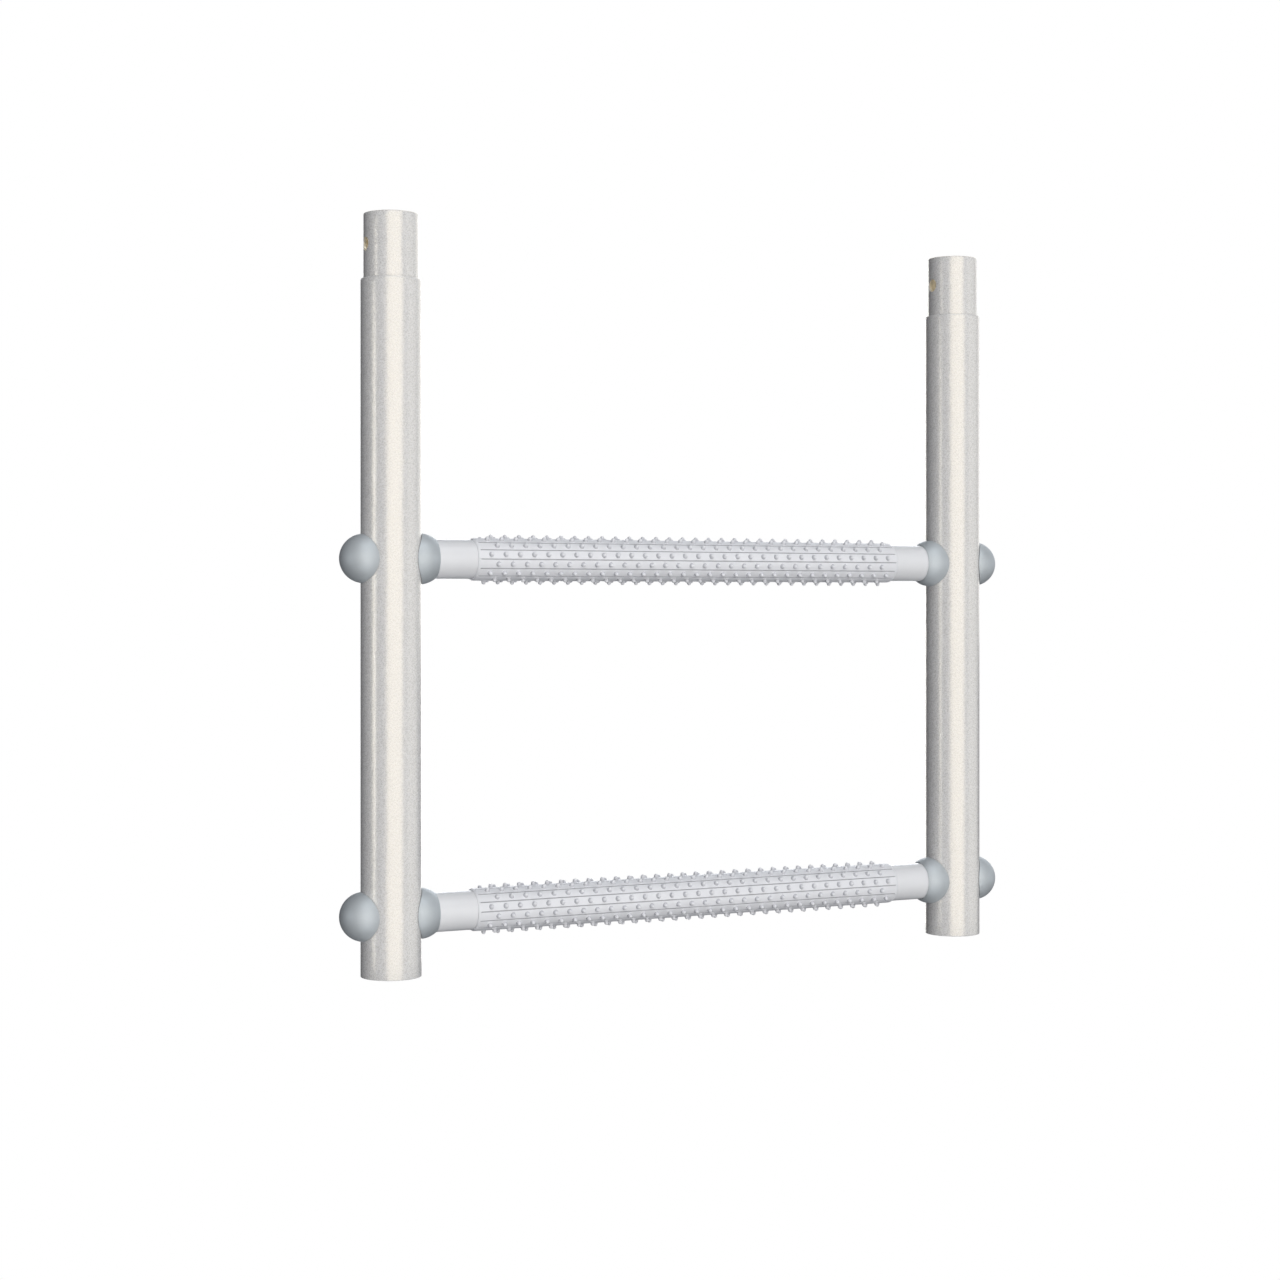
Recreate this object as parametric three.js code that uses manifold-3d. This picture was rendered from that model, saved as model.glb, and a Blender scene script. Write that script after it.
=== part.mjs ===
// Two-rung ladder section of a tubular climbing frame, the kind that plugs together into monkey bars.
//
// Millimetres, +Z up. X runs along the rungs, and -Y is the front. The origin is at the middle of the base,
// half way between the axes of the two uprights and level with their lower ends.
//
// Each upright is a round tube with a thinner spigot tube pressed into its top. The next section's uprights
// slip over the spigots. Each rung is a tube between the uprights, with a ball-shaped collar at each end that
// is hollowed to sit on the upright. A long bolt runs through the upright and the collar into a threaded plug
// in the rung. Its head sits on a washer and a saddle-shaped seat, and a hollow ball cap snaps over them.

import * as THREE from "three";
import { mergeVertices } from "three/addons/utils/BufferGeometryUtils.js";
import Module from "manifold-3d";

// ---------------------------------------------------------------- driving dimensions

const FIT_GAP = 0.3; // clearance between pieces that touch
const THROUGH = 4; // how far a cutting tool runs past the face that it opens

const UPRIGHT = {
  spacing: 465, // between the axes of the two uprights
  radius: 21,
  wall: 1.7,
  height: 482,
  topRound: 1.5, // rounded shoulder round the spigot
  footRound: 0.5,
};

const SPIGOT = {
  radius: 19,
  wall: 2,
  proud: 45, // length above the upright's shoulder
  inside: 60, // length pressed into the upright
  rimRound: 0.7,
  holeRadius: 4.6, // cross hole for a locking pin, drilled along X
  holeBelowTop: 21.7,
};

const RUNG = {
  heights: { lower: 42.3, upper: 288.8 }, // axis above the uprights' lower ends
  radius: 13.8,
  wall: 1.5,
};

const GRIP = {
  halfLength: 173,
  radius: 15,
  endRadius: 14.3, // where the tapered ends meet the rung
  taper: 2, // length of each tapered end
  strips: 14, // flat-topped strips along the sleeve, with a groove between each two
  grooveDepth: 0.6,
  grooveHalfAngle: 0.03, // radians
};

// Ball centres are measured from the upright's axis.
const COLLAR = { ballRadius: 17.8, ballCentre: 20.6, floor: 5, mouth: 31.2 };
const CAP = { ballRadius: 17.1, ballCentre: 19.7, wall: 2.3 };
const SEAT = { thickness: 2.3 }; // between the upright and the washer, at its thinnest
const WASHER = { radius: 8, thickness: 1.6 };
const BOLT = {
  radius: 4,
  length: 80,
  headRadius: 7,
  headHeight: 4.4,
  headEdge: 1.1, // height of the head's straight edge, below its dome
  headTopRadius: 3.8, // flat top round the socket
  socketRadius: 2.9, // across the corners of the hexagon socket
  socketDepth: 2.6,
  endChamfer: 1,
};
const PLUG = { length: 30, radius: 12 };

// How finely round surfaces are divided.
const SEGMENTS = { tube: 40, ball: 24, small: 16, arc: 3 };

// Distances from the upright's axis along a rung's axis, worked out from the sizes above.
const holeRadius = BOLT.radius + FIT_GAP;
const saddleRadius = UPRIGHT.radius + FIT_GAP;
const uprightBore = UPRIGHT.radius - UPRIGHT.wall;
const seatTop = saddleRadius + SEAT.thickness;
const washerStart = seatTop + FIT_GAP;
const headStart = washerStart + WASHER.thickness + FIT_GAP;
const collarFloor = saddleRadius + COLLAR.floor;
const rungStart = collarFloor + FIT_GAP;
const rungLength = UPRIGHT.spacing - 2 * rungStart;
const totalHeight = UPRIGHT.height + SPIGOT.proud;

// ---------------------------------------------------------------- materials

function finish(name, color, roughness, metalness) {
  const material = new THREE.MeshStandardMaterial({ color, roughness, metalness });
  material.name = name;
  return material;
}

const pearlSilver = finish("pearl_silver_coat", 0xd6d4cf, 0.45, 0.35);
const rungCoat = finish("light_grey_coat", 0xd3d5da, 0.3, 0);
const gripRubber = finish("light_grey_rubber", 0xd2d3d6, 0.65, 0);
const ballPlastic = finish("blue_grey_plastic", 0xa3afb5, 0.35, 0);
const zincSteel = finish("zinc_plated_steel", 0xb9bcc0, 0.35, 0.9);

// ---------------------------------------------------------------- geometry helpers

const wasm = await Module();
wasm.setup();

// Turns a closed geometry into a manifold-3d solid.
function toSolid(geometry) {
  const bare = geometry.clone();
  bare.deleteAttribute("normal");
  bare.deleteAttribute("uv");
  const merged = mergeVertices(bare, 1e-4);
  return new wasm.Manifold(
    new wasm.Mesh({
      numProp: 3,
      vertProperties: merged.getAttribute("position").array,
      triVerts: Uint32Array.from(merged.getIndex().array),
    }),
  );
}

// Turns a manifold-3d solid back into a geometry.
function toGeometry(solid) {
  const { vertProperties, triVerts } = solid.getMesh();
  const geometry = new THREE.BufferGeometry();
  geometry.setAttribute("position", new THREE.BufferAttribute(vertProperties, 3));
  geometry.setIndex(new THREE.BufferAttribute(triVerts, 1));
  geometry.computeVertexNormals();
  return geometry;
}

// Cuts every tool out of a body.
function cut(body, ...tools) {
  const solid = tools.reduce((rest, tool) => rest.subtract(toSolid(tool)), toSolid(body));
  return toGeometry(solid);
}

// A turned piece: the profile lists [radius, distance along the axis], anticlockwise with the axis upwards.
function turned(profile, segments) {
  const points = profile.map(([radius, along]) => new THREE.Vector2(radius, along));
  return new THREE.LatheGeometry(points, segments);
}

const turnedAlongZ = (profile, segments) => turned(profile, segments).rotateX(Math.PI / 2);
const turnedAlongX = (profile, segments) => turned(profile, segments).rotateZ(-Math.PI / 2);

// Points on an arc in a profile, from one angle to another, in quarter turns.
function arc(centreRadius, centreAlong, radius, fromQuarter, toQuarter, steps = SEGMENTS.arc) {
  return Array.from({ length: steps + 1 }, (_, i) => {
    const angle = (fromQuarter + ((toQuarter - fromQuarter) * i) / steps) * (Math.PI / 2);
    return [centreRadius + radius * Math.cos(angle), centreAlong + radius * Math.sin(angle)];
  });
}

// A solid rod on the axis between two distances along it.
function rod(radius, from, to) {
  return [[0, from], [radius, from], [radius, to], [0, to]];
}

// A plain ring round the axis.
function ring(innerRadius, outerRadius, from, to) {
  return [[innerRadius, from], [outerRadius, from], [outerRadius, to], [innerRadius, to], [innerRadius, from]];
}

// A full ball centred on the X axis.
function ball(radius, centre) {
  const steps = SEGMENTS.ball / 2;
  const profile = arc(0, centre, radius, -1, 1, steps);
  profile[0][0] = 0;
  profile[steps][0] = 0;
  return turnedAlongX(profile, SEGMENTS.ball);
}

// A cutting tool the size of the upright, with the fit gap round it.
function uprightTool() {
  const reach = 2 * COLLAR.ballRadius;
  return turnedAlongZ(rod(saddleRadius, -reach, reach), SEGMENTS.tube);
}

// A cutting tool that takes away everything past a distance along X.
function beyond(distance, halfSize) {
  return new THREE.BoxGeometry(2 * halfSize, 2 * halfSize, 2 * halfSize).translate(distance + halfSize, 0, 0);
}

// ---------------------------------------------------------------- uprights

function uprightTube() {
  const { radius, height, topRound, footRound } = UPRIGHT;
  const profile = [
    [uprightBore, 0],
    ...arc(radius - footRound, footRound, footRound, -1, 0, 1),
    ...arc(radius - topRound, height - topRound, topRound, 0, 1),
    [uprightBore, height],
    [uprightBore, 0],
  ];
  const boltHoles = Object.values(RUNG.heights).map((z) =>
    turnedAlongX(rod(holeRadius, -radius - THROUGH, radius + THROUGH), SEGMENTS.small).translate(0, 0, z),
  );
  return cut(turnedAlongZ(profile, SEGMENTS.tube), ...boltHoles);
}

function spigotTube() {
  const { radius, wall, inside, rimRound } = SPIGOT;
  const foot = UPRIGHT.height - inside;
  const profile = [
    [radius - wall, foot],
    [radius, foot],
    ...arc(radius - rimRound, totalHeight - rimRound, rimRound, 0, 1, 2),
    [radius - wall, totalHeight],
    [radius - wall, foot],
  ];
  const crossHole = turnedAlongX(
    rod(SPIGOT.holeRadius, -radius - THROUGH, radius + THROUGH),
    SEGMENTS.small,
  ).translate(0, 0, totalHeight - SPIGOT.holeBelowTop);
  return cut(turnedAlongZ(profile, SEGMENTS.tube), crossHole);
}

// ---------------------------------------------------------------- rungs

function rungTube() {
  const { radius, wall } = RUNG;
  return turnedAlongX(ring(radius - wall, radius, -rungLength / 2, rungLength / 2), SEGMENTS.tube);
}

// The grip's section: strips of a circle with a shallow V groove between each two.
function gripSection() {
  const { radius, strips, grooveDepth, grooveHalfAngle } = GRIP;
  const stripAngle = (2 * Math.PI) / strips;
  const shape = new THREE.Shape();
  const place = (r, angle) => [r * Math.cos(angle), r * Math.sin(angle)];
  shape.moveTo(...place(radius - grooveDepth, 0));
  for (let strip = 0; strip < strips; strip += 1) {
    const start = strip * stripAngle + grooveHalfAngle;
    const end = (strip + 1) * stripAngle - grooveHalfAngle;
    shape.lineTo(...place(radius, start));
    shape.lineTo(...place(radius, (start + end) / 2));
    shape.lineTo(...place(radius, end));
    if (strip < strips - 1) shape.lineTo(...place(radius - grooveDepth, (strip + 1) * stripAngle));
  }
  return shape;
}

function gripSleeve() {
  const { halfLength, radius, endRadius, taper } = GRIP;
  const sleeve = new THREE.ExtrudeGeometry(gripSection(), { depth: 2 * halfLength, bevelEnabled: false });
  sleeve.translate(0, 0, -halfLength).rotateY(Math.PI / 2);
  const outside = [
    [0, -halfLength],
    [endRadius, -halfLength],
    [radius, taper - halfLength],
    [radius, halfLength - taper],
    [endRadius, halfLength],
    [0, halfLength],
  ];
  const bore = rod(RUNG.radius + FIT_GAP, -halfLength - THROUGH, halfLength + THROUGH);
  const solid = toSolid(sleeve)
    .intersect(toSolid(turnedAlongX(outside, SEGMENTS.tube)))
    .subtract(toSolid(turnedAlongX(bore, SEGMENTS.ball)));
  return toGeometry(solid);
}

// ---------------------------------------------------------------- pieces where a rung meets an upright
// These are made with the upright's axis at the origin and +X pointing away from the rung.

function collar() {
  const socket = rod(RUNG.radius + FIT_GAP, -collarFloor - COLLAR.ballRadius, -collarFloor);
  const boltHole = rod(holeRadius, -collarFloor - THROUGH, 0);
  return cut(
    ball(COLLAR.ballRadius, -COLLAR.ballCentre),
    uprightTool(),
    beyond(COLLAR.mouth, COLLAR.ballRadius).rotateZ(Math.PI),
    turnedAlongX(socket, SEGMENTS.ball),
    turnedAlongX(boltHole, SEGMENTS.small),
  );
}

function cap() {
  const hollow = ball(CAP.ballRadius - CAP.wall, CAP.ballCentre);
  return cut(ball(CAP.ballRadius, CAP.ballCentre), hollow, uprightTool());
}

function capSeat() {
  const disc = ball(CAP.ballRadius - CAP.wall - FIT_GAP, CAP.ballCentre);
  const boltHole = turnedAlongX(rod(holeRadius, 0, seatTop + THROUGH), SEGMENTS.small);
  return cut(disc, uprightTool(), beyond(seatTop, CAP.ballRadius), boltHole);
}

function washer() {
  const profile = ring(holeRadius, WASHER.radius, washerStart, washerStart + WASHER.thickness);
  return turnedAlongX(profile, SEGMENTS.small);
}

function bolt() {
  const { radius, length, headRadius, headHeight, headEdge, headTopRadius, endChamfer } = BOLT;
  const tip = headStart - length;
  const headTop = headStart + headHeight;
  const domeFlattening = (headHeight - headEdge) / (headRadius - headTopRadius);
  const dome = arc(0, 0, headRadius - headTopRadius, 0, 1).map(([outwards, up]) => [
    headTopRadius + outwards,
    headStart + headEdge + domeFlattening * up,
  ]);
  const profile = [
    [0, tip],
    [radius - endChamfer, tip],
    [radius, tip + endChamfer],
    [radius, headStart],
    [headRadius, headStart],
    ...dome,
    [0, headTop],
  ];
  const socket = turnedAlongX(rod(BOLT.socketRadius, headTop - BOLT.socketDepth, headTop + THROUGH), 6);
  return cut(turnedAlongX(profile, SEGMENTS.small), socket);
}

function threadedPlug() {
  const profile = ring(holeRadius, PLUG.radius, -rungStart - PLUG.length, -rungStart);
  return turnedAlongX(profile, SEGMENTS.ball);
}

// ---------------------------------------------------------------- assembly

function named(name, geometry, material) {
  const mesh = new THREE.Mesh(geometry, material);
  mesh.name = name;
  return mesh;
}

// side is -1 for the left upright and 1 for the right one.
function upright(sideName, side) {
  const group = new THREE.Group();
  group.position.x = (side * UPRIGHT.spacing) / 2;
  group.add(named(`${sideName}_upright_tube`, uprightTube(), pearlSilver));
  group.add(named(`${sideName}_spigot_tube`, spigotTube(), pearlSilver));
  return group;
}

function connection(sideName, side, rungName) {
  const group = new THREE.Group();
  group.position.set((side * UPRIGHT.spacing) / 2, 0, RUNG.heights[rungName]);
  group.rotation.z = side > 0 ? 0 : Math.PI;
  const prefix = `${sideName}_${rungName}`;
  group.add(named(`${prefix}_collar`, collar(), ballPlastic));
  group.add(named(`${prefix}_cap`, cap(), ballPlastic));
  group.add(named(`${prefix}_cap_seat`, capSeat(), ballPlastic));
  group.add(named(`${prefix}_washer`, washer(), zincSteel));
  group.add(named(`${prefix}_bolt`, bolt(), zincSteel));
  group.add(named(`${prefix}_threaded_plug`, threadedPlug(), zincSteel));
  return group;
}

function rung(rungName) {
  const group = new THREE.Group();
  group.position.z = RUNG.heights[rungName];
  group.add(named(`${rungName}_rung_tube`, rungTube(), rungCoat));
  group.add(named(`${rungName}_rung_grip`, gripSleeve(), gripRubber));
  return group;
}

const ladderSection = new THREE.Group();
ladderSection.name = "ladder_section";
for (const [sideName, side] of [["left", -1], ["right", 1]]) {
  ladderSection.add(upright(sideName, side));
  for (const rungName of Object.keys(RUNG.heights)) {
    ladderSection.add(connection(sideName, side, rungName));
  }
}
for (const rungName of Object.keys(RUNG.heights)) {
  ladderSection.add(rung(rungName));
}

export default ladderSection;
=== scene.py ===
"""Looks of a plug-together ladder section of a climbing frame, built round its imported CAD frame.

Everything is in metres in the row frame: X runs along the rungs, -Y is the front and +Z is up.
Each piece is made round its own natural centre and then placed where its CAD node is:
uprights and spigots round the upright's foot, rungs and grips round the rung's middle, and the pieces of
a joint round the point where the rung's axis crosses the upright's axis, with +X away from the rung.
"""

import math

import bmesh
import bpy
from mathutils import Matrix, Vector


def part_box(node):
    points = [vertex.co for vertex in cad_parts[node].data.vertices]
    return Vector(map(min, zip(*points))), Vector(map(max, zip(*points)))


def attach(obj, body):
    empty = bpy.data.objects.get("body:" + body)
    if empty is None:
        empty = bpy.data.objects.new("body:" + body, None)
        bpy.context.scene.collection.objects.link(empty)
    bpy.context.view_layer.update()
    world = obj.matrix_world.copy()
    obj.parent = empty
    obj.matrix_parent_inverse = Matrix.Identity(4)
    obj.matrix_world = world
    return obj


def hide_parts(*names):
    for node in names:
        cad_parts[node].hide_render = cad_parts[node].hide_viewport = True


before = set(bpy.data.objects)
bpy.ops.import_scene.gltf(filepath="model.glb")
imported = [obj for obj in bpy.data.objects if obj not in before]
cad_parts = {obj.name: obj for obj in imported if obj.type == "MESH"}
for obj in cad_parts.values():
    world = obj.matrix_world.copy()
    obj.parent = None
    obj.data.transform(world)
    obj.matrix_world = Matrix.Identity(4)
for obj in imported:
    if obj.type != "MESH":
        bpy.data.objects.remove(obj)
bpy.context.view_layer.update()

# ---------------------------------------------------------------- sizes

MM = 0.001
FIT_GAP = 0.3 * MM  # clearance between pieces that touch
WELD_DISTANCE = 0.01 * MM  # points nearer than this are the same point
SIDES = {"left": math.pi, "right": 0}  # how far a joint's pieces are turned round Z
RUNGS = ("lower", "upper")


def middle(node):
    """The middle of a CAD node's box."""
    low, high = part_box(node)
    return (low + high) / 2


def half_size(node):
    """Half of a CAD node's length along each axis."""
    low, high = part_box(node)
    return (high - low) / 2


UPRIGHT_RADIUS = half_size("left_upright_tube").y
UPRIGHT_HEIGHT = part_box("left_upright_tube")[1].z
UPRIGHT_WALL = 1.7 * MM
UPRIGHT_BORE = UPRIGHT_RADIUS - UPRIGHT_WALL
SADDLE_RADIUS = UPRIGHT_RADIUS + FIT_GAP  # hollow face of what sits on an upright
SHOULDER_ROUND = 1.6 * MM
FOOT_ROUND = 0.6 * MM

SPIGOT_RADIUS = half_size("left_spigot_tube").y
SPIGOT_WALL = 2 * MM
SPIGOT_FOOT, SPIGOT_TOP = (corner.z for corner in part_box("left_spigot_tube"))
RIM_ROUND = 0.8 * MM
CROSS_HOLE_RADIUS = 4.6 * MM
CROSS_HOLE_BELOW_TOP = 21.7 * MM
DEBURR = 0.4 * MM  # chamfer round each drilled hole

RUNG_RADIUS = half_size("lower_rung_tube").z
RUNG_HALF = half_size("lower_rung_tube").x
RUNG_WALL = 1.5 * MM
RUNG_END_ROUND = 0.4 * MM
SOCKET_RADIUS = RUNG_RADIUS + FIT_GAP  # bore of what fits round a rung

GRIP_RADIUS = half_size("lower_rung_grip").y
GRIP_HALF = half_size("lower_rung_grip").x
GRIP_END_RADIUS = 14.3 * MM
GRIP_TAPER = 2 * MM
GRIP_STRIPS = 14
GROOVE_DEPTH = 0.6 * MM
GROOVE_HALF_ANGLE = math.radians(1.5)
GROOVE_SHAPE = ((-1, 0), (-0.9, 0.8), (-0.6, 1), (0, 1), (0.6, 1), (0.9, 0.8), (1, 0))  # across, depth
NUB_PITCH = 10.9 * MM
NUB_RADIUS = 1.5 * MM
NUB_HEIGHT = 2.7 * MM
NUB_SIDE = ((1.8, 0), (1.3, 0), (1.06, 0.12), (1, 0.28))  # upwards, in shares of its radius and height
NUB_TIP = (90, 65, 40, 18)  # degrees from the very top, on its round tip
LONG_ROW = 31  # nubs in every other row; the rows between have one fewer, half a pitch along

COLLAR_RADIUS = half_size("left_lower_collar").y
COLLAR_CENTRE = 20.6 * MM
COLLAR_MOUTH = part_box("left_lower_collar")[1].x - middle("left_upright_tube").x
COLLAR_FLOOR = SADDLE_RADIUS + 5 * MM
BALL_EDGE_ROUND = 0.35 * MM  # where a collar's or cap's ball meets its saddle
BALL_EDGE_STEP = 0.05  # radians from that rim to the ball's first even row

CAP_RADIUS = half_size("left_lower_cap").y
CAP_REACH = middle("left_upright_tube").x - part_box("left_lower_cap")[0].x
CAP_CENTRE = CAP_REACH - CAP_RADIUS
CAP_WALL = 2.3 * MM
SEAT_RADIUS = CAP_RADIUS - CAP_WALL - FIT_GAP
SEAT_TOP = SADDLE_RADIUS + 2.3 * MM

BOLT_RADIUS = 4 * MM
BOLT_HOLE_RADIUS = BOLT_RADIUS + FIT_GAP
BOLT_LENGTH = 80 * MM
BOLT_HEAD_RADIUS = half_size("left_lower_bolt").y
BOLT_HEAD_HEIGHT = 4.4 * MM
BOLT_TIP_CHAMFER = 0.9 * MM
HEAD_EDGE = 1.1 * MM  # height of the straight rim under the button
HEAD_ROUND = 0.3 * MM  # of the rim's lower edge, and the height of the flare under the head
NECK_FLARE = 0.2 * MM
HEAD_FLAT_RADIUS = 3.8 * MM
KEY_RADIUS = 2.9 * MM  # to the corners of the hexagon socket
KEY_DEPTH = 2.6 * MM
KEY_CHAMFER = 0.25 * MM
THREAD_PITCH = 1.25 * MM
THREAD_DEPTH = 0.65 * MM
THREAD_START = 0.7 * MM  # from the bolt's tip
THREAD_LENGTH = 28 * MM
THREAD_PLAY = 0.12 * MM
THREAD_STEPS = 6  # rows of faces in one turn

WASHER_RADIUS = half_size("left_lower_washer").y
WASHER_START = SEAT_TOP + FIT_GAP
WASHER_THICKNESS = 1.6 * MM
WASHER_ROUND = 0.25 * MM
HEAD_START = WASHER_START + WASHER_THICKNESS + FIT_GAP
BOLT_TIP = HEAD_START - BOLT_LENGTH

PLUG_RADIUS = half_size("left_lower_threaded_plug").y
PLUG_START = -(COLLAR_FLOOR + FIT_GAP)
PLUG_LENGTH = 2 * half_size("left_lower_threaded_plug").x
PLUG_ROUND = 0.5 * MM
PLUG_COUNTERSINK = 0.4 * MM
PLUG_MOUTH_RADIUS = BOLT_HOLE_RADIUS + PLUG_COUNTERSINK

# ---------------------------------------------------------------- profiles
# A profile is a list of (radius, distance along the axis) points, as vectors.


def bend(before, corner, after, rounding):
    """Points of a small curve that rounds a corner, within just under half of each side."""

    def leave(other):
        side = other - corner
        return corner + side.normalized() * min(rounding, side.length * 0.48)

    start, end = leave(before), leave(after)
    shares = (0.0, 0.25, 0.5, 0.75, 1.0)
    return [start * (1 - t) ** 2 + corner * 2 * t * (1 - t) + end * t**2 for t in shares]


def softened(corners):
    """A closed profile from (radius, along, rounding) corners."""
    points = [Vector(corner[:2]) for corner in corners]
    profile = []
    for i, (corner, (_, _, rounding)) in enumerate(zip(points, corners)):
        if rounding:
            profile += bend(points[i - 1], corner, points[(i + 1) % len(points)], rounding)
        else:
            profile.append(corner)
    return profile


def divided(profile, longest):
    """The closed profile with more points, so that no step is longer than the longest allowed."""
    finer = []
    for start, end in zip(profile, profile[1:] + profile[:1]):
        steps = max(1, math.ceil((end - start).length / longest))
        finer += [start.lerp(end, k / steps) for k in range(steps)]
    return finer


def on_ball(radius, centre, polar):
    """A point on a ball's profile; polar is its angle from the ball's outermost point."""
    return Vector((radius * math.sin(polar), centre + radius * math.cos(polar)))


def ball_arc(radius, centre, start, end, steps):
    """Points on a ball's profile from one polar angle to another."""
    return [on_ball(radius, centre, start + (end - start) * k / steps) for k in range(steps + 1)]


def on_saddle(radius, angle):
    """The point of the saddle, which hugs the upright, at a radius and angle round the rung's axis."""
    return Vector((radius, math.sqrt(SADDLE_RADIUS**2 - (radius * math.cos(angle)) ** 2)))


def saddle_line(rim, angle):
    """Points on the saddle from the bolt's hole out to just short of a ball's rim."""
    inner = BOLT_HOLE_RADIUS
    return [on_saddle(inner + (rim.x - inner) * k / 6, angle) for k in range(6)]


def ball_meets_saddle(radius, centre, angle):
    """The polar angle where a ball's surface reaches the saddle, at an angle round the rung's axis."""
    a = (radius * math.sin(angle)) ** 2
    b = 2 * centre * radius
    c = centre**2 + (radius * math.cos(angle)) ** 2 - SADDLE_RADIUS**2
    return math.acos(-2 * c / (b + math.sqrt(b * b - 4 * a * c)))


def thread_depth(along, angle, start, end):
    """How deep an M8 thread is cut at a place on a rod, running out at both of its ends."""
    turn = (along / THREAD_PITCH - angle / (2 * math.pi)) % 1
    flank = min(1, max(0, 1.35 * abs(2 * turn - 1) - 0.15))  # flat at its root and crest
    run_out = min(1, max(0, min(along - start, end - along) / THREAD_PITCH))
    return THREAD_DEPTH * (1 - flank) * run_out


# ---------------------------------------------------------------- meshes


def around(along, angle, radius):
    """The point at a distance along the X axis, and at an angle and radius round it."""
    return Vector((along, radius * math.cos(angle), radius * math.sin(angle)))


def revolved(profile_at, segments):
    """A mesh round the X axis. profile_at(angle) gives a loop, or a line from the axis back to the axis."""
    bm = bmesh.new()
    columns = []
    for s in range(segments):
        angle = 2 * math.pi * s / segments
        column = []
        for k, (radius, along) in enumerate(profile_at(angle)):
            if radius == 0 and columns:
                column.append(columns[0][k])
            else:
                column.append(bm.verts.new(around(along, angle, radius)))
        columns.append(column)
    rows = len(columns[0])
    is_loop = profile_at(0)[0][0] != 0
    for s, column in enumerate(columns):
        following = columns[(s + 1) % segments]
        for k in range(rows if is_loop else rows - 1):
            above = (k + 1) % rows
            corners = (column[k], column[above], following[above], following[k])
            bm.faces.new(list(dict.fromkeys(corners)))
    return finished_mesh(bm)


def finished_mesh(bm):
    """The mesh of a closed bmesh, shaded smooth except over real edges."""
    bmesh.ops.recalc_face_normals(bm, faces=bm.faces)
    mesh = bpy.data.meshes.new("mesh")
    bm.to_mesh(mesh)
    bm.free()
    mesh.shade_smooth()
    mesh.set_sharp_from_angle(angle=math.radians(32))
    return mesh


def turned_tube(corners, longest, segments):
    """A tube round the X axis from its wall's (radius, along, rounding) corners."""
    profile = divided(softened(corners), longest)
    return revolved(lambda angle: profile, segments)


def upended(mesh):
    """Turns a mesh made round the X axis so that it stands round the Z axis."""
    mesh.transform(Matrix.Rotation(math.radians(-90), 4, "Y"))
    return mesh


def drill(radius, wall_radius, height):
    """A cutter for a hole along X right through a standing tube, with a small chamfer at each mouth."""
    reach = wall_radius + 5 * MM

    def profile_at(angle):
        rim = math.sqrt(wall_radius**2 - (radius * math.cos(angle)) ** 2)
        half = [(radius, rim - DEBURR), (radius + DEBURR, rim), (radius + 2 * DEBURR, reach), (0, reach)]
        return [(r, -along) for r, along in reversed(half)] + half

    mesh = revolved(profile_at, 48)
    mesh.transform(Matrix.Translation((0, 0, height)))
    return mesh


def with_holes(mesh, drills):
    """The mesh with every drill cut out of it."""
    body = bpy.data.objects.new("body", mesh)
    cutters = [bpy.data.objects.new("drill", drill_mesh) for drill_mesh in drills]
    for thing in [body, *cutters]:
        bpy.context.scene.collection.objects.link(thing)
    for cutter in cutters:
        modifier = body.modifiers.new("hole", "BOOLEAN")
        modifier.operation = "DIFFERENCE"
        modifier.solver = "EXACT"
        modifier.object = cutter
    bm = bmesh.new()
    bm.from_object(body, bpy.context.evaluated_depsgraph_get())
    bmesh.ops.dissolve_degenerate(bm, dist=0.001 * MM, edges=bm.edges)
    for thing in [body, *cutters]:
        bpy.data.objects.remove(thing)
    return finished_mesh(bm)


# ---------------------------------------------------------------- uprights and spigots


def upright_mesh():
    """Open tube with a rounded shoulder at the top, drilled for the two bolts."""
    corners = [
        (UPRIGHT_BORE, 0, FOOT_ROUND),
        (UPRIGHT_RADIUS, 0, FOOT_ROUND),
        (UPRIGHT_RADIUS, UPRIGHT_HEIGHT, SHOULDER_ROUND),
        (UPRIGHT_BORE, UPRIGHT_HEIGHT, 0),
    ]
    tube = upended(turned_tube(corners, longest=12 * MM, segments=128))
    heights = [middle(f"{rung}_rung_tube").z for rung in RUNGS]
    return with_holes(tube, [drill(BOLT_HOLE_RADIUS, UPRIGHT_RADIUS, z) for z in heights])


def spigot_mesh():
    """Thinner open tube that stands out of the upright, with a cross hole for a locking pin."""
    bore = SPIGOT_RADIUS - SPIGOT_WALL
    corners = [
        (bore, SPIGOT_FOOT, 0),
        (SPIGOT_RADIUS, SPIGOT_FOOT, 0),
        (SPIGOT_RADIUS, SPIGOT_TOP, RIM_ROUND),
        (bore, SPIGOT_TOP, RIM_ROUND),
    ]
    tube = upended(turned_tube(corners, longest=6 * MM, segments=128))
    hole_height = SPIGOT_TOP - CROSS_HOLE_BELOW_TOP
    return with_holes(tube, [drill(CROSS_HOLE_RADIUS, SPIGOT_RADIUS, hole_height)])


# ---------------------------------------------------------------- rungs


def rung_mesh():
    """Plain tube with softened ends."""
    bore = RUNG_RADIUS - RUNG_WALL
    places = ((bore, -RUNG_HALF), (RUNG_RADIUS, -RUNG_HALF), (RUNG_RADIUS, RUNG_HALF), (bore, RUNG_HALF))
    corners = [(*place, RUNG_END_ROUND) for place in places]
    return turned_tube(corners, longest=12 * MM, segments=96)


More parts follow.
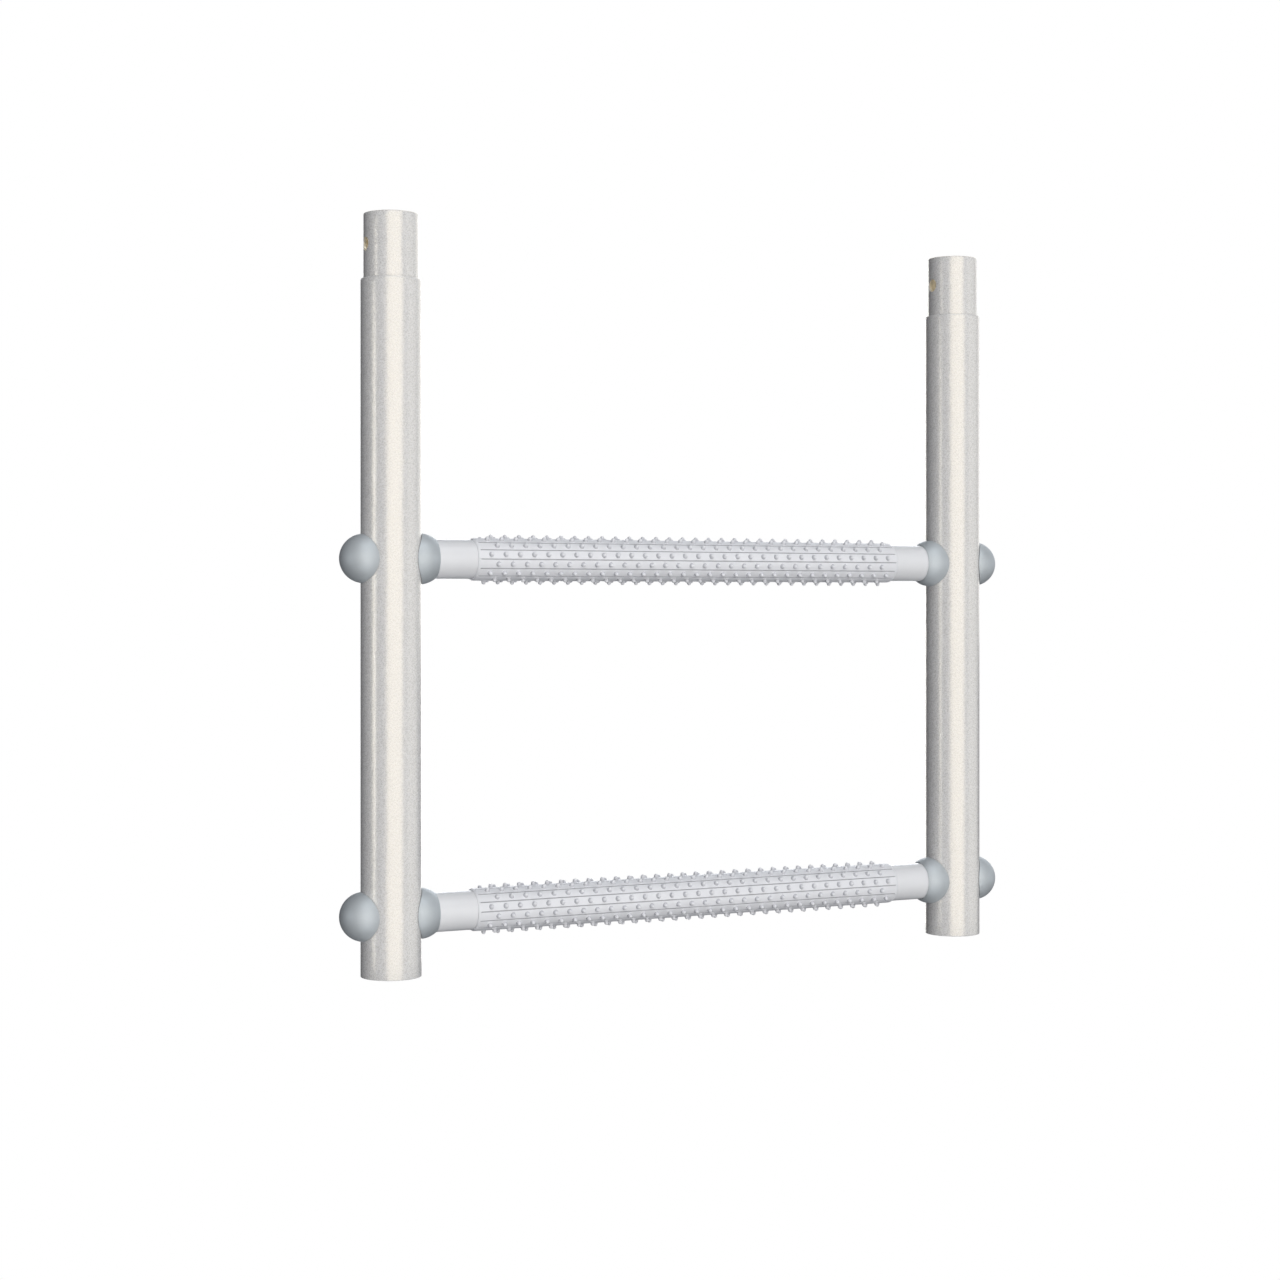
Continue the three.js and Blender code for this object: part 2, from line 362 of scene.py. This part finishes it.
class GripBuilder:
    """Builds the grip's skin from patches whose edges meet, and welds them at the end."""

    cell_points = 16  # round each nub, and round the cell that it stands in
    strip_angle = 2 * math.pi / GRIP_STRIPS
    land_half_angle = strip_angle / 2 - GROOVE_HALF_ANGLE
    body_half = GRIP_HALF - GRIP_TAPER

    def __init__(self):
        self.bm = bmesh.new()

    def stretched(self, along):
        """The same place, but the outermost cross lines lie on the body's ends."""
        outermost = LONG_ROW * NUB_PITCH / 2 - WELD_DISTANCE
        return math.copysign(self.body_half, along) if abs(along) > outermost else along

    def grid(self, rows):
        """A patch of four-sided faces from rows of points. A row that is one point is a fan's tip."""
        made = [[self.bm.verts.new(p) for p in row] for row in rows]
        for lower, upper in zip(made, made[1:]):
            for k in range(len(lower) - 1):
                top = [upper[k + 1], upper[k]] if len(upper) > 1 else [upper[0]]
                self.bm.faces.new([lower[k], lower[k + 1], *top])

    def columns(self):
        """Where the faces' cross lines are, a quarter of a pitch apart."""
        quarters = 2 * LONG_ROW
        return [self.stretched(q * NUB_PITCH / 4) for q in range(-quarters, quarters + 1)]

    def groove(self, angle):
        """A steep-sided groove along the whole body, between two strips."""
        rows = []
        for across, depth in GROOVE_SHAPE:
            turned = angle + across * GROOVE_HALF_ANGLE
            radius = GRIP_RADIUS - depth * GROOVE_DEPTH
            rows.append([around(x, turned, radius) for x in self.columns()])
        self.grid(rows)

    def square(self, turn):
        """The point at a share of the way round the outline of a square from -1 to 1."""

        def wave(share):
            return max(-1.0, min(1.0, 2 - 8 * abs((share + 0.5) % 1 - 0.5)))

        return wave(turn), wave(turn - 0.25)

    def nub_cell(self, along, strip):
        """One pitch of a strip's land with its round-tipped nub."""
        turns = [k / self.cell_points for k in range(self.cell_points + 1)]
        outline = []
        for turn in turns:
            s, t = self.square(turn)
            x = self.stretched(along + s * NUB_PITCH / 2)
            outline.append(around(x, strip + t * self.land_half_angle, GRIP_RADIUS))

        def circle(radius, height):
            """A ring round the nub's own axis; at height 0 it follows the sleeve."""
            ring = []
            for turn in turns:
                side = radius * math.sin(2 * math.pi * turn)
                out = math.sqrt(GRIP_RADIUS**2 - side**2) if height == 0 else GRIP_RADIUS + height
                x = along + radius * math.cos(2 * math.pi * turn)
                ring.append(around(x, strip + math.atan2(side, out), math.hypot(out, side)))
            return ring

        rows = [outline]
        rows += [circle(wide * NUB_RADIUS, high * NUB_HEIGHT) for wide, high in NUB_SIDE]
        for polar in map(math.radians, NUB_TIP):
            height = NUB_HEIGHT - NUB_RADIUS * (1 - math.cos(polar))
            rows.append(circle(NUB_RADIUS * math.sin(polar), height))
        rows.append([around(along, strip, GRIP_RADIUS + NUB_HEIGHT)])
        self.grid(rows)

    def plain_half_cell(self, side, strip):
        """The land between a short row's last nub cell and the end of the body."""
        start = side * (LONG_ROW - 1) / 2 * NUB_PITCH
        steps = [strip + t * self.land_half_angle for t in (-1, -0.5, 0, 0.5, 1)]
        stations = [start, start + side * NUB_PITCH / 4, side * self.body_half]
        self.grid([[around(x, angle, GRIP_RADIUS) for angle in steps] for x in stations])

    def strip(self, index):
        """A land with a row of nubs. Long and short rows take turns, as bricks do."""
        angle = (index + 0.5) * self.strip_angle
        nubs = LONG_ROW - index % 2
        for i in range(nubs):
            self.nub_cell((i - (nubs - 1) / 2) * NUB_PITCH, angle)
        if nubs < LONG_ROW:
            for side in (-1, 1):
                self.plain_half_cell(side, angle)

    def section(self):
        """(angle, depth below the land) round the body, at the same places as its patches' edges."""
        places = []
        for index in range(GRIP_STRIPS):
            start = index * self.strip_angle
            for across, depth in GROOVE_SHAPE:
                places.append((start + across * GROOVE_HALF_ANGLE, depth * GROOVE_DEPTH))
            for t in (-0.5, 0, 0.5):
                places.append((start + self.strip_angle / 2 + t * self.land_half_angle, 0))
        return [*places, places[0]]

    def ends_and_bore(self):
        """The tapered ends, where the grooves run out, and the bore that joins them."""
        lip = RUNG_RADIUS + 0.05 * MM  # hugs the rung at each end
        stations = [  # along, radius, and the share of the grooves' depth that is left there
            (self.body_half, GRIP_RADIUS, 1),
            (self.body_half + 0.3 * MM, GRIP_RADIUS - 0.02 * MM, 0.6),
            (self.body_half + 0.9 * MM, GRIP_RADIUS - 0.12 * MM, 0.2),
            (GRIP_HALF - 0.5 * MM, GRIP_END_RADIUS + 0.25 * MM, 0),
            (GRIP_HALF - 0.1 * MM, GRIP_END_RADIUS + 0.08 * MM, 0),
            (GRIP_HALF, GRIP_END_RADIUS, 0),
            (GRIP_HALF, lip, 0),
            (GRIP_HALF - 2 * MM, lip, 0),
            (GRIP_HALF - 3 * MM, SOCKET_RADIUS, 0),
            (GRIP_HALF / 2, SOCKET_RADIUS, 0),
        ]
        section = self.section()
        half = [
            [around(along, angle, radius - share * depth) for angle, depth in section]
            for along, radius, share in stations
        ]
        mirror = [[Vector((-p.x, p.y, p.z)) for p in row] for row in half]
        self.grid(half + mirror[::-1])

    def mesh(self):
        """The whole grip as one closed mesh."""
        for index in range(GRIP_STRIPS):
            self.groove(index * self.strip_angle)
            self.strip(index)
        self.ends_and_bore()
        bmesh.ops.remove_doubles(self.bm, verts=self.bm.verts, dist=WELD_DISTANCE)
        return finished_mesh(self.bm)


# ---------------------------------------------------------------- pieces where a rung meets an upright


def collar_profile(angle):
    """Half ball between the upright and the rung: saddle, ball, and a socket for the rung's end."""
    edge = ball_meets_saddle(COLLAR_RADIUS, COLLAR_CENTRE, angle)
    mouth = math.acos((COLLAR_MOUTH - COLLAR_CENTRE) / COLLAR_RADIUS)
    rim = on_ball(COLLAR_RADIUS, COLLAR_CENTRE, edge)
    beyond_rim = on_ball(COLLAR_RADIUS, COLLAR_CENTRE, edge - 2 * BALL_EDGE_STEP)
    profile = saddle_line(rim, angle)
    profile += bend(profile[-1], rim, beyond_rim, BALL_EDGE_ROUND)
    profile += ball_arc(COLLAR_RADIUS, COLLAR_CENTRE, edge - BALL_EDGE_STEP, mouth, 16)
    profile += [
        Vector((SOCKET_RADIUS, COLLAR_MOUTH)),
        Vector((SOCKET_RADIUS, COLLAR_FLOOR)),
        Vector((BOLT_HOLE_RADIUS, COLLAR_FLOOR)),
    ]
    return [Vector((radius, -along)) for radius, along in profile]


def cap_profile(angle):
    """Hollow ball, cut to hug the upright."""
    hollow = CAP_RADIUS - CAP_WALL
    edge = ball_meets_saddle(CAP_RADIUS, CAP_CENTRE, angle)
    hollow_edge = ball_meets_saddle(hollow, CAP_CENTRE, angle)
    rim = on_ball(CAP_RADIUS, CAP_CENTRE, edge)
    inner_rim = on_ball(hollow, CAP_CENTRE, hollow_edge)
    profile = ball_arc(CAP_RADIUS, CAP_CENTRE, 0, edge - BALL_EDGE_STEP, 28)
    profile += bend(profile[-2], rim, inner_rim, BALL_EDGE_ROUND)
    profile.append(on_saddle((rim.x + inner_rim.x) / 2, angle))
    profile += ball_arc(hollow, CAP_CENTRE, hollow_edge, 0, 20)
    profile[0].x = 0
    profile[-1].x = 0
    return profile


def seat_profile(angle):
    """Disc between the upright and the washer, on which the cap snaps."""
    edge = ball_meets_saddle(SEAT_RADIUS, CAP_CENTRE, angle)
    top = math.acos((SEAT_TOP - CAP_CENTRE) / SEAT_RADIUS)
    profile = saddle_line(on_ball(SEAT_RADIUS, CAP_CENTRE, edge), angle)
    profile += ball_arc(SEAT_RADIUS, CAP_CENTRE, edge, top, 8)
    profile.append(Vector((BOLT_HOLE_RADIUS, SEAT_TOP)))
    return profile


def washer_profile(_angle):
    """Flat ring with softened edges, the same all the way round."""
    end = WASHER_START + WASHER_THICKNESS
    return softened([
        (BOLT_HOLE_RADIUS, WASHER_START, WASHER_ROUND),
        (WASHER_RADIUS, WASHER_START, WASHER_ROUND),
        (WASHER_RADIUS, end, WASHER_ROUND),
        (BOLT_HOLE_RADIUS, end, WASHER_ROUND),
    ])


def bolt_profile(angle):
    """Button-head bolt with a hexagon socket and a threaded end, from its tip to the socket's floor."""
    head_top = HEAD_START + BOLT_HEAD_HEIGHT
    side = math.pi / 3
    key = KEY_RADIUS * math.cos(side / 2) / math.cos(angle % side - side / 2)
    rows = round(THREAD_STEPS * THREAD_LENGTH / THREAD_PITCH)
    profile = [Vector((0, BOLT_TIP)), Vector((BOLT_RADIUS - BOLT_TIP_CHAMFER, BOLT_TIP))]
    for k in range(rows + 1):
        along = BOLT_TIP + THREAD_START + (THREAD_LENGTH - THREAD_START) * k / rows
        depth = thread_depth(along, angle, BOLT_TIP, BOLT_TIP + THREAD_LENGTH)
        profile.append(Vector((BOLT_RADIUS - depth, along)))
    profile.append(Vector((BOLT_RADIUS, HEAD_START - HEAD_ROUND)))
    profile.append(Vector((BOLT_RADIUS + NECK_FLARE, HEAD_START)))
    profile += bend(
        Vector((BOLT_RADIUS, HEAD_START)),
        Vector((BOLT_HEAD_RADIUS, HEAD_START)),
        Vector((BOLT_HEAD_RADIUS, HEAD_START + HEAD_EDGE)),
        HEAD_ROUND,
    )
    for k in range(9):
        turned = math.pi / 2 * k / 8
        radius = HEAD_FLAT_RADIUS + (BOLT_HEAD_RADIUS - HEAD_FLAT_RADIUS) * math.cos(turned)
        along = HEAD_START + HEAD_EDGE + (BOLT_HEAD_HEIGHT - HEAD_EDGE) * math.sin(turned)
        profile.append(Vector((radius, along)))
    profile.append(Vector((key + KEY_CHAMFER, head_top)))
    profile.append(Vector((key, head_top - KEY_CHAMFER)))
    profile.append(Vector((key, head_top - KEY_DEPTH)))
    profile.append(Vector((0, head_top - KEY_DEPTH)))
    return profile


def plug_profile(angle):
    """Threaded plug pressed into the rung's end; its thread matches the bolt's."""
    start = PLUG_START - PLUG_LENGTH
    rows = round(THREAD_STEPS * PLUG_LENGTH / THREAD_PITCH)
    profile = softened([
        (PLUG_MOUTH_RADIUS, start, 0),
        (PLUG_RADIUS, start, PLUG_ROUND),
        (PLUG_RADIUS, PLUG_START, PLUG_ROUND),
        (PLUG_MOUTH_RADIUS, PLUG_START, 0),
    ])
    for k in range(rows + 1):
        along = PLUG_START - PLUG_COUNTERSINK - (PLUG_LENGTH - 2 * PLUG_COUNTERSINK) * k / rows
        depth = thread_depth(along, angle, start - THREAD_PITCH, PLUG_START + THREAD_PITCH)
        profile.append(Vector((BOLT_RADIUS + THREAD_PLAY - depth, along)))
    return profile


# ---------------------------------------------------------------- materials

WHITE = (1, 1, 1, 1)


class Surface:
    """A node material with one principled shader, and short ways to make the nodes that drive it."""

    def __init__(self, name, **constants):
        self.material = bpy.data.materials.new(f"{name}_finish")
        self.material.use_nodes = True
        self.tree = self.material.node_tree
        self.shader = self.tree.nodes["Principled BSDF"]
        self.drive(**constants)
        self.inside = self.node("ShaderNodeTexCoord").outputs["Object"]
        self.place = self.row_place()

    def node(self, kind, **inputs):
        """A node of that kind. Each input is given as a number or as another node's socket."""
        made = self.tree.nodes.new(kind)
        for socket, value in inputs.items():
            self.feed(made.inputs[socket.replace("_", " ")], value)
        return made

    def feed(self, socket, value):
        """Links another node's socket to this one, or sets its number."""
        if isinstance(value, bpy.types.NodeSocket):
            self.tree.links.new(value, socket)
        else:
            socket.default_value = value

    def row_place(self):
        """The place on the piece in the row frame, so that no two pieces have the same pattern."""
        centre = self.node("ShaderNodeObjectInfo").outputs["Location"]
        return self.vector("ADD", self.inside, centre)

    def vector(self, operation, first, second=(0, 0, 0), output="Vector"):
        """The result of a step of vector arithmetic."""
        made = self.node("ShaderNodeVectorMath")
        made.operation = operation
        self.feed(made.inputs[0], first)
        self.feed(made.inputs[1], second)
        return made.outputs[output]

    def distance(self, axes):
        """How far a place is from the piece's own centre, counting only the axes marked 1."""
        counted = self.vector("MULTIPLY", self.inside, axes)
        return self.vector("LENGTH", counted, output="Value")

    def noise(self, scale, detail, roughness=0.5):
        """Soft clouds from 0 to 1; a larger scale makes them finer."""
        made = self.node(
            "ShaderNodeTexNoise", Vector=self.place, Scale=scale, Detail=detail, Roughness=roughness
        )
        return made.outputs["Fac"]

    def grains(self, size):
        """One random colour for each small grain of the surface."""
        return self.node("ShaderNodeTexVoronoi", Vector=self.place, Scale=1 / size).outputs["Color"]

    def lightness(self, colour):
        """How light a colour is, from 0 to 1."""
        return self.node("ShaderNodeRGBToBW", Color=colour).outputs[0]

    def ramp(self, value, *stops):
        """Maps a value to a colour; each stop is (position, colour)."""
        made = self.node("ShaderNodeValToRGB", Fac=value)
        elements = made.color_ramp.elements
        while len(elements) < len(stops):
            elements.new(0.5)
        for element, (position, colour) in zip(elements, stops):
            element.position = position
            element.color = (*colour, 1)
        return made.outputs["Color"]

    def spread(self, value, low, high, to_low, to_high):
        """Maps a value from one range to another."""
        ends = {"From_Min": low, "From_Max": high, "To_Min": to_low, "To_Max": to_high}
        return self.node("ShaderNodeMapRange", Value=value, **ends).outputs["Result"]

    def mixed(self, share, first, second, blend="MIX"):
        """A mix of two colours, whose sockets in a colour mix are numbers 6 and 7."""
        made = self.node("ShaderNodeMix")
        made.data_type = "RGBA"
        made.blend_type = blend
        self.feed(made.inputs[0], share)
        self.feed(made.inputs[6], first)
        self.feed(made.inputs[7], second)
        return made.outputs[2]

    def math(self, operation, first, second):
        """The result of a step of arithmetic."""
        made = self.node("ShaderNodeMath")
        made.operation = operation
        self.feed(made.inputs[0], first)
        self.feed(made.inputs[1], second)
        return made.outputs[0]

    def leaning_normal(self, grains, lean):
        """The surface's normal, with each grain leaning its own way."""
        offset = self.vector("SUBTRACT", grains, (0.5, 0.5, 0.5))
        leaned = self.vector("MULTIPLY", offset, (lean, lean, lean))
        normal = self.node("ShaderNodeNewGeometry").outputs["Normal"]
        return self.vector("NORMALIZE", self.vector("ADD", normal, leaned))

    def bump(self, height, distance, strength):
        """The surface's normal as if its height varied by up to that distance."""
        made = self.node("ShaderNodeBump", Height=height, Distance=distance, Strength=strength)
        return made.outputs["Normal"]

    def drive(self, **sockets):
        """Sets or links the shader's sockets, and gives back the finished material."""
        for socket, value in sockets.items():
            self.feed(self.shader.inputs[socket.replace("_", " ")], value)
        return self.material


def pearl_silver_coat():
    """Pearl powder coat: warm gloss over a cool white, with small flakes that each lean their own way.

    The spigot's bore and the edge of its cross hole aren't coated: there the bare steel is a warm cream.
    """
    surface = Surface("pearl_silver_coat", IOR=1.9, Specular_Tint=(1, 0.86, 0.6, 1))
    flakes = surface.grains(0.5 * MM)
    flake_light = surface.lightness(flakes)
    clump_light = surface.lightness(surface.grains(1.3 * MM))
    mirror = surface.spread(flake_light, 0.52, 0.62, 0.0, 1.0)
    pigment = surface.ramp(clump_light, (0.2, (0.735, 0.735, 0.76)), (0.8, (0.76, 0.755, 0.765)))
    coat = surface.mixed(mirror, pigment, (0.685, 0.68, 0.69, 1))
    from_axis = surface.distance((1, 1, 0))
    bare = surface.spread(from_axis, SPIGOT_RADIUS - 0.3 * MM, SPIGOT_RADIUS - 0.1 * MM, 1.0, 0.0)
    colour = surface.mixed(bare, coat, (1.0, 0.93, 0.78, 1))
    bare_metal = surface.math("MULTIPLY", bare, 0.6)
    metal = surface.math("MAXIMUM", bare_metal, surface.math("MULTIPLY", mirror, 0.15))
    satin = surface.spread(flake_light, 0.2, 0.8, 0.27, 0.21)
    roughness = surface.math("ADD", satin, surface.math("MULTIPLY", bare, 0.2))
    leaning = surface.leaning_normal(flakes, 0.1)
    return surface.drive(Base_Color=colour, Metallic=metal, Roughness=roughness, Normal=leaning)


def light_grey_coat():
    """Smooth gloss paint with the faintest orange peel."""
    surface = Surface("light_grey_coat", Specular_IOR_Level=0.18)
    cloud = surface.noise(60, 3)
    base = surface.ramp(cloud, (0.35, (0.735, 0.745, 0.785)), (0.65, (0.755, 0.765, 0.805)))
    roughness = surface.spread(surface.noise(220, 2), 0.3, 0.7, 0.2, 0.25)
    peel = surface.bump(surface.noise(420, 1), 0.01 * MM, 0.2)
    return surface.drive(Base_Color=base, Roughness=roughness, Normal=peel)


def light_grey_rubber():
    """Moulded rubber, matt with a fine grain and smoother on the nubs' tips.

    Painted shade darkens the grooves and the nubs' feet and sides, but not the tapered ends.
    """
    surface = Surface("light_grey_rubber", Specular_IOR_Level=0.35)
    from_axis = surface.distance((0, 1, 1))
    relief = surface.spread(from_axis, GRIP_RADIUS - GROOVE_DEPTH, GRIP_RADIUS + NUB_HEIGHT, 0.0, 1.0)
    # painted shade: dark in the grooves, full colour on the land, darkest round the nubs' feet and lighter
    # up their sides to the tips
    painted_shade = surface.ramp(
        relief,
        (0.10, (0.6, 0.6, 0.61)),
        (0.165, (1, 1, 1)),
        (0.195, (1, 1, 1)),
        (0.23, (0.7, 0.7, 0.71)),
        (0.75, (0.92, 0.92, 0.93)),
        (0.9, (1, 1, 1)),
    )
    from_middle = surface.distance((1, 0, 0))
    body_end = GRIP_HALF - GRIP_TAPER
    at_end = surface.spread(from_middle, body_end - 0.2 * MM, body_end + 0.2 * MM, 0.0, 1.0)
    cloud = surface.noise(90, 4)
    base = surface.ramp(cloud, (0.3, (0.745, 0.755, 0.805)), (0.7, (0.785, 0.795, 0.845)))
    # the painted shade multiplies the rubber's own colour everywhere but on the tapered ends
    shaded_base = surface.mixed(1.0, base, surface.mixed(at_end, painted_shade, WHITE), "MULTIPLY")
    tip = surface.spread(relief, 0.5, 1.0, 0.0, 1.0)
    matt = surface.spread(surface.noise(1500, 2), 0.3, 0.7, 0.42, 0.52)
    roughness = surface.math("SUBTRACT", matt, surface.math("MULTIPLY", tip, 0.16))
    grain = surface.bump(surface.noise(1800, 2), 0.02 * MM, 0.3)
    return surface.drive(Base_Color=shaded_base, Roughness=roughness, Normal=grain)


def blue_grey_plastic():
    """Satin moulded plastic with a fine spark-eroded grain and soft flow clouds."""
    surface = Surface("blue_grey_plastic", Metallic=0.45)
    cloud = surface.noise(70, 4, 0.6)
    base = surface.ramp(cloud, (0.3, (0.52, 0.56, 0.60)), (0.7, (0.545, 0.585, 0.625)))
    roughness = surface.spread(surface.noise(700, 2), 0.3, 0.7, 0.54, 0.62)
    grain = surface.bump(surface.noise(2200, 1), 0.02 * MM, 0.3)
    return surface.drive(Base_Color=base, Roughness=roughness, Normal=grain)


def zinc_plated_steel():
    """Bright zinc plate with a faint blue and straw bloom and fine turning lines."""
    surface = Surface("zinc_plated_steel", Metallic=1.0, Anisotropic=0.3)
    bloom = surface.noise(160, 3)
    base = surface.ramp(
        bloom, (0.3, (0.60, 0.63, 0.68)), (0.5, (0.66, 0.66, 0.67)), (0.7, (0.70, 0.68, 0.62))
    )
    roughness = surface.spread(surface.noise(900, 3), 0.3, 0.7, 0.24, 0.4)
    lines = surface.bump(surface.noise(3000, 1), 0.01 * MM, 0.4)
    return surface.drive(Base_Color=base, Roughness=roughness, Normal=lines)


FINISHES = (pearl_silver_coat, light_grey_coat, light_grey_rubber, blue_grey_plastic, zinc_plated_steel)
MATERIALS = {make.__name__: make() for make in FINISHES}

# ---------------------------------------------------------------- assembly


def add_piece(name, node, slot, mesh, centre, turn=0.0):
    """Puts a mesh in its CAD node's place, with the finish of a material slot."""
    piece = bpy.data.objects.new(name, mesh.copy())
    piece.data.name = name
    piece.data.materials.append(MATERIALS[slot])
    piece.location = centre
    piece.rotation_euler.z = turn
    bpy.context.scene.collection.objects.link(piece)
    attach(piece, "root")
    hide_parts(node)


def add_uprights():
    """Both uprights with their spigots, placed from the foot."""
    tube = upright_mesh()
    spigot = spigot_mesh()
    for side in SIDES:
        foot = Vector((middle(f"{side}_upright_tube").x, 0, 0))
        add_piece(f"{side}_upright", f"{side}_upright_tube", "pearl_silver_coat", tube, foot)
        add_piece(f"{side}_spigot", f"{side}_spigot_tube", "pearl_silver_coat", spigot, foot)


def add_rungs():
    """Both rungs with their grips, placed from the middle."""
    tube = rung_mesh()
    grip = GripBuilder().mesh()
    for rung in RUNGS:
        centre = middle(f"{rung}_rung_tube")
        add_piece(f"{rung}_rung", f"{rung}_rung_tube", "light_grey_coat", tube, centre)
        add_piece(f"{rung}_grip", f"{rung}_rung_grip", "light_grey_rubber", grip, centre)


def add_joints():
    """The pieces at each of the four places where a rung meets an upright."""
    kinds = {  # CAD node: piece, finish and mesh
        "collar": ("ball_collar", "blue_grey_plastic", revolved(collar_profile, 96)),
        "cap": ("ball_cap", "blue_grey_plastic", revolved(cap_profile, 96)),
        "cap_seat": ("saddle_seat", "blue_grey_plastic", revolved(seat_profile, 64)),
        "washer": ("flat_washer", "zinc_plated_steel", revolved(washer_profile, 48)),
        "bolt": ("button_bolt", "zinc_plated_steel", revolved(bolt_profile, 36)),
        "threaded_plug": ("rung_plug", "zinc_plated_steel", revolved(plug_profile, 36)),
    }
    for side, turn in SIDES.items():
        for rung in RUNGS:
            centre = Vector((middle(f"{side}_upright_tube").x, 0, middle(f"{rung}_rung_tube").z))
            for node, (piece, slot, mesh) in kinds.items():
                add_piece(f"{side}_{rung}_{piece}", f"{side}_{rung}_{node}", slot, mesh, centre, turn)


# ---------------------------------------------------------------- studio

CAMERA_PLACE = Vector((-0.77695, -1.48497, 0.2585))
CAMERA_HEADING = math.radians(26.384)  # to the right of +Y
CAMERA_LENS = 63.93  # mm, on a 36 mm sensor
CAMERA_SHIFT = -0.02935
PANEL_TARGET = Vector((0, 0, 0.26))
PANEL_DISTANCE = 3.0
WARM = (1.0, 0.975, 0.91)
COOL = (0.95, 0.98, 1.0)
FLOOR_HALF = 12.0


def add_camera():
    """A level camera, shifted down a little instead of tilted, so that uprights stay upright."""
    camera = bpy.data.objects.new("camera", bpy.data.cameras.new("camera"))
    camera.location = CAMERA_PLACE
    camera.rotation_euler = (math.radians(90), 0, -CAMERA_HEADING)
    camera.data.lens = CAMERA_LENS
    camera.data.shift_y = CAMERA_SHIFT
    bpy.context.scene.collection.objects.link(camera)
    bpy.context.scene.camera = camera


def add_floor():
    """A plain white floor that glows for the camera only, so that it adds no light of its own."""
    corners = [(x * FLOOR_HALF, y * FLOOR_HALF, 0) for x, y in ((-1, -1), (1, -1), (1, 1), (-1, 1))]
    mesh = bpy.data.meshes.new("floor")
    mesh.from_pydata(corners, [], [(0, 1, 2, 3)])
    floor = bpy.data.objects.new("floor", mesh)
    bpy.context.scene.collection.objects.link(floor)
    material = bpy.data.materials.new("pale_floor")
    material.use_nodes = True
    nodes, links = material.node_tree.nodes, material.node_tree.links
    nodes.clear()
    glow = nodes.new("ShaderNodeEmission")
    glow.inputs["Color"].default_value = WHITE
    output = nodes.new("ShaderNodeOutputMaterial")
    links.new(glow.outputs[0], output.inputs[0])
    mesh.materials.append(material)
    floor.visible_diffuse = False
    floor.visible_glossy = False
    floor.visible_shadow = False


def add_panel(name, bearing, elevation, size, radiance, colour):
    """A soft light panel facing the object. The bearing is from the camera's side, to the right."""
    heading = CAMERA_HEADING - math.radians(bearing)
    level = Vector((-math.sin(heading), -math.cos(heading), 0)) * math.cos(math.radians(elevation))
    towards = level + Vector((0, 0, math.sin(math.radians(elevation))))
    light = bpy.data.lights.new(name, "AREA")
    light.shape = "RECTANGLE"
    light.size, light.size_y = size
    light.energy = math.pi * light.size * light.size_y * radiance
    light.color = colour
    panel = bpy.data.objects.new(name, light)
    panel.location = PANEL_TARGET + towards * PANEL_DISTANCE
    panel.rotation_euler = (-towards).to_track_quat("-Z", "Y").to_euler()
    bpy.context.scene.collection.objects.link(panel)


def add_backdrop(fill):
    """White to the camera; a dim even grey as light."""
    world = bpy.data.worlds.new("studio")
    bpy.context.scene.world = world
    world.use_nodes = True
    nodes, links = world.node_tree.nodes, world.node_tree.links
    nodes.clear()
    dim = nodes.new("ShaderNodeBackground")
    dim.inputs["Color"].default_value = (*fill, 1)
    white = nodes.new("ShaderNodeBackground")
    white.inputs["Color"].default_value = WHITE
    ray = nodes.new("ShaderNodeLightPath")
    choice = nodes.new("ShaderNodeMixShader")
    output = nodes.new("ShaderNodeOutputWorld")
    links.new(ray.outputs["Is Camera Ray"], choice.inputs[0])
    links.new(dim.outputs[0], choice.inputs[1])
    links.new(white.outputs[0], choice.inputs[2])
    links.new(choice.outputs[0], output.inputs[0])


def add_studio():
    """The camera, floor, backdrop and light panels."""
    add_camera()
    add_floor()
    add_backdrop((0.05, 0.05, 0.056))
    add_panel("front_panel", bearing=17, elevation=3, size=(3.6, 3.0), radiance=2.2, colour=WARM)
    add_panel("high_panel", bearing=25, elevation=58, size=(2.4, 1.4), radiance=3.3, colour=COOL)
    add_panel("low_panel", bearing=20, elevation=-45, size=(2.4, 1.4), radiance=1.8, colour=COOL)
    add_panel("left_strip", bearing=-61, elevation=0, size=(0.6, 1.3), radiance=4.3, colour=COOL)
    add_panel("right_panel", bearing=95, elevation=0, size=(3.2, 2.0), radiance=0.77, colour=COOL)
    add_panel("back_panel", bearing=152, elevation=22, size=(2.4, 2.6), radiance=1.5, colour=COOL)
    add_panel("rear_panel", bearing=182, elevation=8, size=(1.6, 2.4), radiance=3.0, colour=COOL)
    bpy.context.scene.view_settings.view_transform = "Standard"


add_studio()
add_uprights()
add_rungs()
add_joints()
